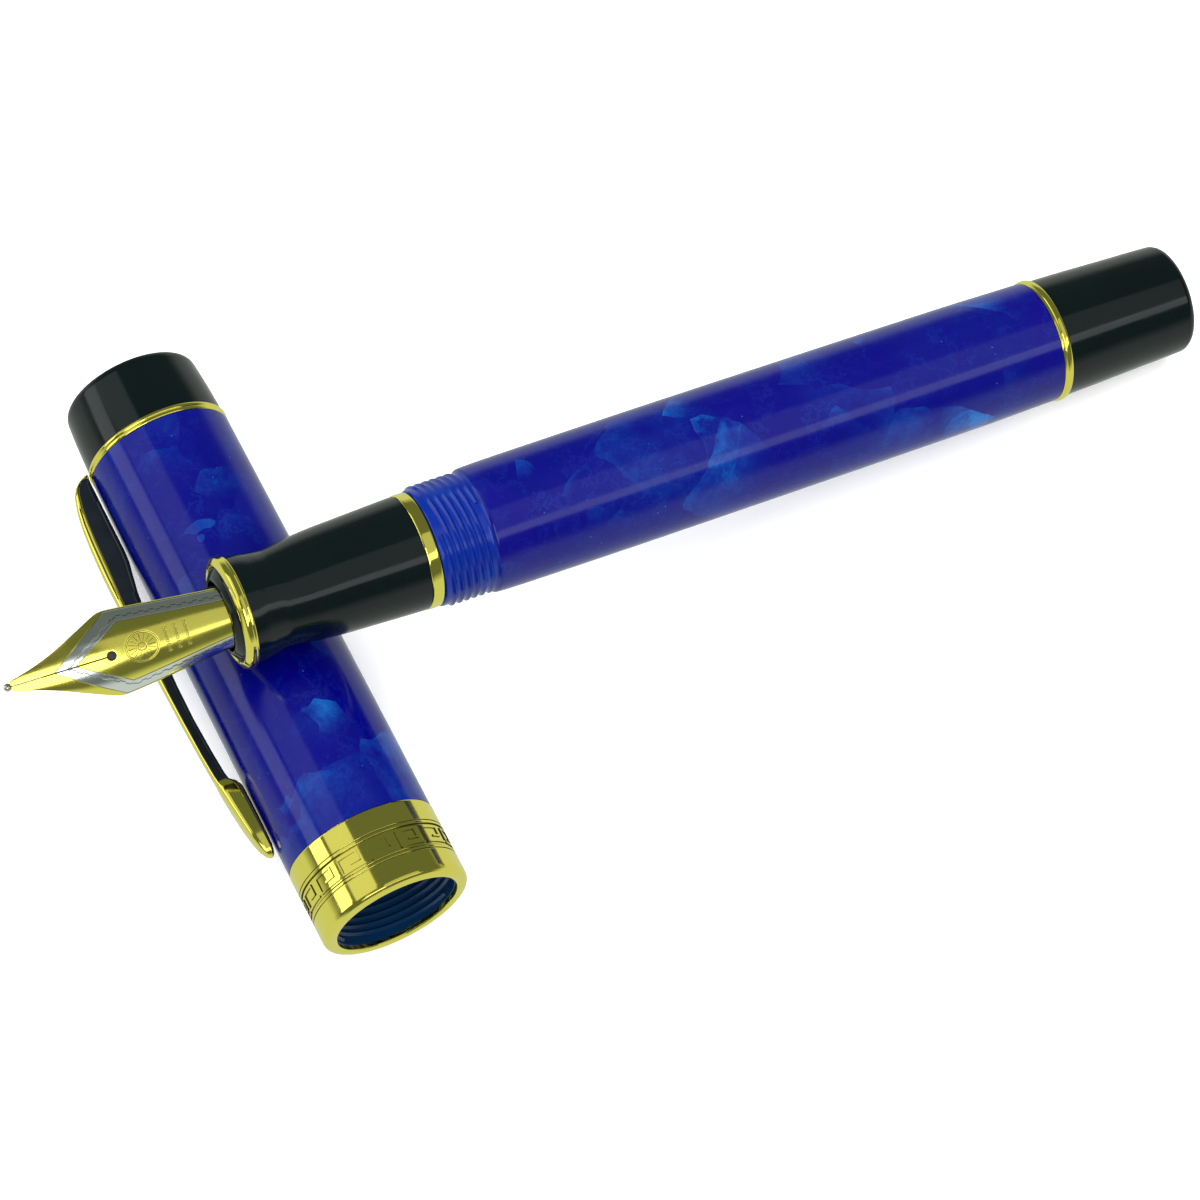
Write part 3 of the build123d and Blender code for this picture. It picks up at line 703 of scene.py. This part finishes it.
ringSet = {
    "tail": [(14.97, 5.0), (14.97, 6.22), (15.0, 6.34), (15.07, 6.4), (15.2, 6.425), (15.4, 6.43),
             (15.55, 6.41), (15.63, 6.36), (15.66, 6.31), (15.7, 6.335), (15.85, 6.34), (15.93, 6.31),
             (15.95, 6.25), (15.95, 5.0), (14.97, 5.0)],
    "joint": [(85.02, 4.87), (85.02, 5.74), (85.06, 5.83), (85.15, 5.88), (85.3, 5.89), (86.02, 5.89),
              (86.18, 5.88), (86.28, 5.83), (86.32, 5.74), (86.32, 4.87), (85.02, 4.87)],
    "lip": [(104.5, 4.5), (104.5, 5.58), (104.54, 5.68), (104.62, 5.735), (104.74, 5.74),
            (104.79, 5.69), (104.85, 5.69), (104.9, 5.74), (105.16, 5.73), (105.3, 5.69),
            (105.42, 5.6), (105.6, 5.3), (105.68, 5.12), (105.7, 4.98), (105.67, 4.87),
            (105.58, 4.79), (105.44, 4.76), (104.93, 4.76), (104.93, 4.5), (104.5, 4.5)],
    "flange": [(104.96, 3.56), (104.96, 4.74), (105.4, 4.74), (105.56, 4.7), (105.75, 4.53),
               (105.98, 4.2), (106.14, 3.95), (106.21, 3.76), (106.19, 3.62), (106.1, 3.56),
               (104.96, 3.56)],
}
tailRing = turnPiece("tailRing", ringSet["tail"], penPlace)
finishPiece(tailRing, "barrel", ["tail_ring"], "goldTrim", 50)

tailSet = {
    "face": [(0.0, 0.02), (0.0, 2.5)],
    "end": [(0.0, 4.75), (0.02, 4.98), (0.09, 5.2), (0.22, 5.4), (0.4, 5.55), (0.6, 5.65)],
    "side": [(0.8, 5.695), (2.95, 5.79), (6.95, 5.92), (10.95, 6.07), (14.8, 6.17)],
    "inside": [(14.92, 6.15), (14.95, 6.1), (14.95, 4.98), (23.9, 4.98), (23.9, 4.2), (5.0, 4.2),
               (5.0, 0.02)],
}
tailLine = tailSet["face"] + tailSet["end"] + smoothLine(tailSet["side"]) + tailSet["inside"]
tailCap = turnPiece("tailCap", tailLine, penPlace, closeEnds=True)
finishPiece(tailCap, "barrel", ["tail_cap"], "blackResin", 40)

# section and its rings

sectionSet = {
    "outside": [(86.36, 5.82), (87.95, 5.77), (91.95, 5.6), (94.95, 5.47), (97.2, 5.3), (99.0, 5.09),
                (100.2, 4.97), (101.0, 4.955), (102.2, 5.14), (103.3, 5.36), (104.48, 5.47)],
    "inside": [(104.48, 4.42), (92.2, 4.42), (92.2, 4.87), (86.36, 4.87), (86.36, 5.82)],
}
section = turnPiece("gripSection", smoothLine(sectionSet["outside"], 6) + sectionSet["inside"], penPlace)
finishPiece(section, "front", ["grip_section"], "blackResin", 40)
jointRing = turnPiece("jointRing", ringSet["joint"], penPlace)
finishPiece(jointRing, "front", ["joint_ring"], "goldTrim", 50)
lipRing = turnPiece("lipRing", ringSet["lip"], penPlace)
finishPiece(lipRing, "front", ["lip_ring"], "goldTrim", 50)

flange = turnPiece("collarFlange", ringSet["flange"], penPlace)
finishPiece(flange, "front", [], "blackResin", 40)

# nib

nibSet = {
    "stations": [(97.12, 2.93, 3.44, 1.77), (101.0, 2.93, 3.44, 1.77), (104.6, 2.93, 3.44, 1.77),
                 (106.0, 2.96, 3.37, 1.72), (108.0, 3.17, 3.24, 1.57), (111.5, 3.58, 3.04, 1.2),
                 (114.5, 3.93, 2.77, 0.73), (116.6, 4.16, 2.48, 0.32), (117.5, 4.2, 2.34, 0.2),
                 (118.3, 4.03, 2.2, 0.28), (119.6, 3.5, 1.92, 0.56), (121.4, 2.72, 1.49, 0.72),
                 (123.4, 1.85, 0.95, 0.6), (125.2, 1.2, 0.43, 0.29), (126.6, 0.8, 0.03, -0.03),
                 (127.5, 0.58, -0.24, -0.28), (127.75, 0.5, -0.33, -0.36)],
    "sheet": 0.28, "breather": (118.05, 0.47), "slit": 0.045, "edge": 0.014,
    "tip": 128.45, "spread": 60.0,
}


def makeNib():
    stations = smoothLine(nibSet["stations"], 4)
    noneSelected()
    # an arc of 120 degrees, its crown at the origin and its ends one unit out and one unit down
    bpy.ops.mesh.primitive_circle_add(vertices=108, radius=1.0)
    nib = bpy.context.object
    nib.name = "nibSheet"
    bpy.ops.object.mode_set(mode="EDIT")
    bpy.ops.mesh.select_all(action="DESELECT")
    bpy.ops.object.mode_set(mode="OBJECT")
    spread = math.radians(nibSet["spread"])
    for vertex in nib.data.vertices:
        vertex.select = abs(math.atan2(vertex.co.y, vertex.co.x)) > spread + 0.001
    bpy.ops.object.mode_set(mode="EDIT")
    bpy.ops.mesh.delete(type="VERT")
    bpy.ops.mesh.select_all(action="SELECT")
    s, half, top, edge = stations[0]
    deep = (top - edge) * mm / (1 - math.cos(spread))
    wide = half * mm / math.sin(spread)
    bpy.ops.transform.translate(value=(-1, 0, 0))
    bpy.ops.transform.resize(value=(deep, wide, 1), center_override=(0, 0, 0))
    bpy.ops.transform.translate(value=(top * mm, 0, s * mm))
    for nextS, nextHalf, nextTop, nextEdge in stations[1:]:
        move = ((nextTop - top) * mm, 0, (nextS - s) * mm)
        bpy.ops.mesh.extrude_edges_move(TRANSFORM_OT_translate={"value": move})
        bpy.ops.transform.resize(value=((nextTop - nextEdge) / (top - edge), nextHalf / half, 1),
                                 center_override=(nextTop * mm, 0, nextS * mm))
        s, half, top, edge = nextS, nextHalf, nextTop, nextEdge
    bpy.ops.mesh.select_all(action="SELECT")
    bpy.ops.mesh.normals_make_consistent(inside=False)
    bpy.ops.object.mode_set(mode="OBJECT")
    # faces look up and out, so the sheet thickens inwards
    if sum(f.normal.x for f in nib.data.polygons) < 0:
        bpy.ops.object.mode_set(mode="EDIT")
        bpy.ops.mesh.flip_normals()
        bpy.ops.object.mode_set(mode="OBJECT")
    # maps: distance back from the tip, distance across, and half width at that station
    nibMap = nib.data.uv_layers.new(name="nibMap")
    edgeMap = nib.data.uv_layers.new(name="edgeMap")
    for loop in nib.data.loops:
        spot = nib.data.vertices[loop.vertex_index].co
        s = spot.z / mm
        last = len(stations) - 2
        row = next((k for k in range(last + 1) if s <= stations[k + 1][0] + 1e-4), last)
        before, after = stations[row], stations[row + 1]
        share = min(max((s - before[0]) / (after[0] - before[0]), 0), 1)
        half, top, edge = (before[k] + share * (after[k] - before[k]) for k in (1, 2, 3))
        # the arc is longer than it is wide
        stretch = math.sqrt(1 + 0.9 * ((top - edge) / half) ** 2) / nibLook["across"]
        fromTip = (nibSet["tip"] - s) / nibLook["length"]
        nibMap.data[loop.index].uv = (fromTip, 0.5 + spot.y / mm * stretch)
        edgeMap.data[loop.index].uv = (half * stretch, 0.5)
    thick = nib.modifiers.new("sheet", "SOLIDIFY")
    thick.thickness = nibSet["sheet"] * mm
    thick.offset = -1
    thick.use_even_offset = True
    applyAll(nib)
    # breather hole and slit
    at, radius = nibSet["breather"]
    noneSelected()
    toolLength = 8 * mm
    bpy.ops.mesh.primitive_cylinder_add(vertices=48, radius=radius * mm, depth=toolLength,
                                        location=(2 * mm, 0, at * mm), rotation=(0, math.pi / 2, 0))
    drill = bpy.context.object
    slitLength = nibSet["tip"] + 1 - at
    bpy.ops.mesh.primitive_cube_add(size=1, location=(0, 0, (at + slitLength / 2) * mm))
    saw = bpy.context.object
    saw.scale = (toolLength, nibSet["slit"] * mm, slitLength * mm)
    bpy.ops.object.transform_apply(location=True, rotation=True, scale=True)
    for tool in (drill, saw):
        cut = nib.modifiers.new("cut", "BOOLEAN")
        cut.operation = "DIFFERENCE"
        cut.solver = "EXACT"
        cut.object = tool
        applyAll(nib)
    for tool in (drill, saw):
        bpy.data.objects.remove(tool)
    softenEdges(nib, nibSet["edge"], 2, 50)
    noneSelected()
    putInPlace(nib, nibPlace)
    finishPiece(nib, "front", ["nib"], "nibGold", 35)


makeNib()

# cap

capSet = {
    "outside": [(8.34, 7.72), (20.0, 7.71), (30.0, 7.69), (45.0, 7.63), (55.8, 7.57)],
    "inside": [(55.8, 5.45), (52.6, 5.45), (52.6, 5.9), (27.15, 5.9), (27.15, 6.1), (8.0, 6.1),
               (7.7, 6.36), (0.62, 6.36), (0.62, 7.35), (8.34, 7.35), (8.34, 7.72)],
    "mouthRadius": 6.6,
    "thread": {"starts": 3, "turns": 2.2, "lead": 2.4, "from": 1.2,
               "root": 6.42, "crest": 6.14, "half": 0.33, "steps": 120},
}
capShell = turnPiece("capShell", smoothLine(capSet["outside"], 4) + capSet["inside"], capPlace, 192)
capShell = joinPieces(capShell, threadRidge("capThread", capSet["thread"], capPlace))
finishPiece(capShell, "cap", ["cap_tube"], "marbledResin", 30)
# seen from the mouth, the bore and its thread are a darker, greener blue
mouthRadius = capSet["mouthRadius"] * mm
addZone(capShell, "mouthResin", lambda face: (face.center - capLip).cross(capDir).length < mouthRadius)

bandSet = {
    "outline": [(0.6, 6.42), (0.28, 6.41), (0.12, 6.46), (0.03, 6.6), (0.0, 6.8), (0.02, 7.05),
                (0.1, 7.32), (0.22, 7.52), (0.4, 7.66), (0.62, 7.73), (0.85, 7.75)],
    "grooves": (2.75, 3.15, 5.55, 5.95), "half": 0.09, "deep": 0.1, "lip": 0.015,
    "sunk": 0.12, "end": 8.32, "outside": 7.75, "inside": 7.38,
    "engraved": (2.6, 6.1), "deepest": 7.5, "wallTilt": 0.6,
}


def makeBand():
    stations = list(bandSet["outline"])
    outside, inside, half, lip = bandSet["outside"], bandSet["inside"], bandSet["half"], bandSet["lip"]
    first, second, third, fourth = bandSet["grooves"]
    # the zone between the two middle grooves is sunk and carries the relief
    sunk = outside - bandSet["sunk"]
    for at, left, right in ((first, outside, outside), (second, outside, sunk),
                            (third, sunk, outside), (fourth, outside, outside)):
        floor = min(left, right) - bandSet["deep"]
        stations += [(at - half, left), (at - 0.7 * half, left - lip), (at - 0.4 * half, floor),
                     (at + 0.4 * half, floor), (at + 0.7 * half, right - lip), (at + half, right)]
    end = bandSet["end"]
    stations += [(end - 0.12, outside), (end - 0.03, outside - 0.04), (end, outside - 0.12)]
    stations += [(end, inside), (stations[0][0], inside), stations[0]]
    return turnPiece("capBand", stations, capPlace, 192)


reliefSet = {
    "units": 15, "top": 7.745, "thick": 0.16, "line": 0.2, "low": 3.45, "high": 5.25, "cuts": 6,
    "gap": 0.11, "hook": 0.72, "return": 0.36, "hookLow": 0.62,
}


def makeRelief():
    # a key pattern in relief between the grooves
    # one unit is laid out flat, copied along, then bent round
    reach = 2 * math.pi * (reliefSet["top"] - reliefSet["thick"] / 2)
    unit = reach / reliefSet["units"]
    wide, low, high = reliefSet["line"], reliefSet["low"], reliefSet["high"]
    gap, hook, back = (reliefSet[share] * unit for share in ("gap", "hook", "return"))
    hookLow = low + reliefSet["hookLow"]
    bars = [(0.0, low, unit - gap, low + wide), (0.0, low, wide, high), (0.0, high - wide, hook, high),
            (hook - wide, hookLow, hook, high), (back, hookLow, hook, hookLow + wide)]
    parts = []
    for x0, z0, x1, z1 in bars:
        noneSelected()
        bpy.ops.mesh.primitive_cube_add(size=1, location=((x0 + x1) / 2 * mm, 0, (z0 + z1) / 2 * mm))
        bar = bpy.context.object
        bar.scale = ((x1 - x0) * mm, reliefSet["thick"] * mm, (z1 - z0) * mm)
        bpy.ops.object.transform_apply(location=True, rotation=True, scale=True)
        parts.append(bar)
    key = joinPieces(parts[0], parts[1:])
    key.name = "bandRelief"
    row = key.modifiers.new("row", "ARRAY")
    row.count = reliefSet["units"]
    row.use_relative_offset = False
    row.use_constant_offset = True
    row.constant_offset_displace = (unit * mm, 0, 0)
    applyAll(key)
    bpy.ops.object.mode_set(mode="EDIT")
    bpy.ops.mesh.select_all(action="SELECT")
    bpy.ops.transform.translate(value=(-reach / 2 * mm, 0, 0))
    slices = reliefSet["cuts"] * reliefSet["units"]
    for i in range(1, slices):
        bpy.ops.mesh.select_all(action="SELECT")
        cutAt = (-reach / 2 + i * reach / slices) * mm
        bpy.ops.mesh.bisect(plane_co=(cutAt, 0, 0), plane_no=(1, 0, 0))
    bpy.ops.object.mode_set(mode="OBJECT")
    bend = key.modifiers.new("bend", "SIMPLE_DEFORM")
    bend.deform_method = "BEND"
    bend.deform_axis = "Z"
    bend.angle = 2 * math.pi * (reach - gap) / reach
    applyAll(key)
    # the bent row's centre is one radius away from its first line
    bpy.ops.object.mode_set(mode="EDIT")
    bpy.ops.mesh.select_all(action="SELECT")
    bpy.ops.transform.translate(value=(0, -reach / (2 * math.pi) * mm, 0))
    bpy.ops.mesh.normals_make_consistent(inside=False)
    bpy.ops.object.mode_set(mode="OBJECT")
    putInPlace(key, capPlace)
    return key


band = joinPieces(makeBand(), [makeRelief()])
finishPiece(band, "cap", ["cap_band"], "goldTrim", 35)


def isShadedWall(face):
    # painted shade: the walls of the grooves and of the raised pattern get a darker gold, where shadow
    # would fall
    spot = face.center - capLip
    out = spot - capDir * spot.dot(capDir)
    # a wall looks along the band or round it, not straight out
    isWall = abs(face.normal.dot(out.normalized())) < bandSet["wallTilt"]
    first, last = bandSet["engraved"]
    return isWall and first * mm < spot.dot(capDir) < last * mm and out.length > bandSet["deepest"] * mm


# painted shade on the walls of the band's grooves and raised pattern
addZone(band, "goldPaintedShade", isShadedWall)

washerSet = [(55.84, 5.46), (55.84, 7.46), (55.88, 7.55), (55.98, 7.6), (56.14, 7.6), (56.22, 7.57),
             (56.26, 7.53), (56.3, 7.58), (56.38, 7.635), (56.5, 7.64), (56.62, 7.61), (56.69, 7.54),
             (56.7, 7.46), (56.7, 5.46), (55.84, 5.46)]
washer = turnPiece("clipWasher", washerSet, capPlace)
finishPiece(washer, "cap", ["clip_washer"], "goldTrim", 50)

crownSet = {
    "side": [(56.8, 7.47), (58.5, 7.42), (60.5, 7.33), (62.85, 7.16)],
    "top": [(63.15, 7.1), (63.4, 6.98), (63.58, 6.8), (63.67, 6.58), (63.7, 6.35), (63.7, 3.0),
            (63.7, 0.02)],
    "inside": [(60.9, 0.02), (60.9, 1.6), (53.75, 1.6), (53.75, 2.7), (52.7, 2.7), (52.7, 5.42),
               (56.72, 5.42), (56.72, 7.4)],
}
crownLine = crownSet["inside"] + smoothLine(crownSet["side"]) + crownSet["top"]
crown = turnPiece("crownCap", crownLine, capPlace, closeEnds=True)
finishPiece(crown, "cap", ["crown"], "blackResin", 40)

# clip

clipSet = {
    "corner": 0.27, "rim": 0.07, "sunk": 0.16, "edge": 0.05,
    "webStart": 56.3, "webEnd": 20.3, "webFrom": 0.3,
    # station from the lip, inner height, outer height, half width
    "stations": [(56.66, 7.72, 8.15, 0.6), (56.45, 7.72, 8.5, 0.72), (56.2, 7.78, 8.95, 0.86),
                 (55.7, 7.82, 9.5, 0.92), (54.9, 7.82, 9.95, 0.94), (53.4, 7.82, 10.35, 0.94),
                 (51.6, 7.82, 10.62, 0.92), (49.4, 7.82, 10.8, 0.9), (47.2, 7.82, 10.9, 0.9),
                 (46.0, 7.9, 10.93, 0.9), (44.8, 8.12, 10.94, 0.9), (42.5, 8.52, 10.93, 0.9),
                 (39.0, 8.86, 10.86, 0.88), (36.0, 9.03, 10.78, 0.86), (31.5, 9.2, 10.66, 0.84),
                 (27.5, 9.22, 10.55, 0.82), (23.5, 9.05, 10.4, 0.82), (20.9, 8.88, 10.25, 0.85),
                 (20.1, 8.75, 10.2, 1.0), (19.5, 8.2, 10.2, 1.28), (18.8, 7.86, 10.15, 1.42),
                 (17.0, 7.84, 10.0, 1.55), (15.0, 7.84, 9.78, 1.58), (13.2, 7.84, 9.5, 1.38),
                 (12.0, 7.86, 9.2, 1.05), (11.3, 7.98, 8.9, 0.7), (10.95, 8.2, 8.6, 0.3)],
}


def isClipWeb(face):
    # the sunk faces lie inside the rim and below the flat sides
    spot = (face.center - capLip) / mm
    along = spot.dot(capDir)
    height = -spot.x
    rows = clipSet["stations"]
    row = next((k for k in range(len(rows) - 1) if rows[k + 1][0] <= along <= rows[k][0]), None)
    if row is None or not clipSet["webEnd"] < along < clipSet["webStart"]:
        return False
    before, after = rows[row], rows[row + 1]
    share = (before[0] - along) / (before[0] - after[0])
    low, high, half = (before[k] + share * (after[k] - before[k]) for k in (1, 2, 3))
    isFlank = abs(spot.z) > clipSet["webFrom"] * half
    return isFlank and height < high - (high - low) * clipSet["corner"]


def makeClip():
    stations = clipSet["stations"]
    noneSelected()
    s, low, high, half = stations[0]
    bpy.ops.mesh.primitive_plane_add(size=1, location=(0, 0, 0))
    clip = bpy.context.object
    clip.name = "clipSpring"
    bpy.ops.object.mode_set(mode="EDIT")
    bpy.ops.mesh.select_all(action="SELECT")
    bpy.ops.mesh.bevel(offset=clipSet["corner"], segments=5, affect="VERTICES")
    bpy.ops.mesh.select_all(action="SELECT")
    bpy.ops.transform.resize(value=((high - low) * mm, 2 * half * mm, 1), center_override=(0, 0, 0))
    bpy.ops.transform.translate(value=((low + high) / 2 * mm, 0, s * mm))
    for nextS, nextLow, nextHigh, nextHalf in stations[1:]:
        move = ((nextLow + nextHigh - low - high) / 2 * mm, 0, (nextS - s) * mm)
        bpy.ops.mesh.extrude_region_move(TRANSFORM_OT_translate={"value": move})
        bpy.ops.transform.resize(value=((nextHigh - nextLow) / (high - low), nextHalf / half, 1),
                                 center_override=((nextLow + nextHigh) / 2 * mm, 0, nextS * mm))
        s, low, high, half = nextS, nextLow, nextHigh, nextHalf
    bpy.ops.mesh.select_all(action="SELECT")
    bpy.ops.mesh.normals_make_consistent(inside=False)
    bpy.ops.object.mode_set(mode="OBJECT")
    noneSelected()
    putInPlace(clip, clipPlace)
    # both flat sides, whose faces look nearly straight out, are sunk behind the rounded rim
    for side in (1, -1):
        bpy.ops.object.mode_set(mode="EDIT")
        bpy.ops.mesh.select_all(action="DESELECT")
        bpy.ops.object.mode_set(mode="OBJECT")
        for face in clip.data.polygons:
            along = (face.center - capLip).dot(capDir) / mm
            face.select = face.normal.z * side > 0.93 and clipSet["webEnd"] < along < clipSet["webStart"]
        bpy.ops.object.mode_set(mode="EDIT")
        bpy.ops.mesh.inset(thickness=clipSet["rim"] * mm, depth=-clipSet["sunk"] * mm)
        bpy.ops.object.mode_set(mode="OBJECT")
    softenEdges(clip, clipSet["edge"], 2, 50)
    finishPiece(clip, "clip", ["clip_arm"], "goldTrim", 45)
    # the sunk web gets the painted shade and reflection
    addZone(clip, "webPaintedShade", isClipWeb)


makeClip()
print("stage: all visible pieces")

# carried-over nodes get their finishes

nodeFinishes = {
    "barrel_bush": "bushBrass", "connector": "threadBlack", "nib_collar": "feedBlack",
    "nib_tipping": "tipAlloy", "feed": "feedBlack", "ink_tube": "clearTube",
    "converter_ferrule": "ferruleGold", "rod_guide": "linerBlue", "converter_knob": "knobBlack",
    "drive_sleeve": "knobBlack", "piston_rod": "rodGrey", "piston_seal": "sealRubber",
    "inner_cap": "linerBlue", "crown_screw": "screwSteel",
}
for nodeName, finishName in nodeFinishes.items():
    node = frame["nodes"][nodeName]
    node.data.materials.clear()
    node.data.materials.append(finishes[finishName])
print("carried-over nodes:", len(nodeFinishes))
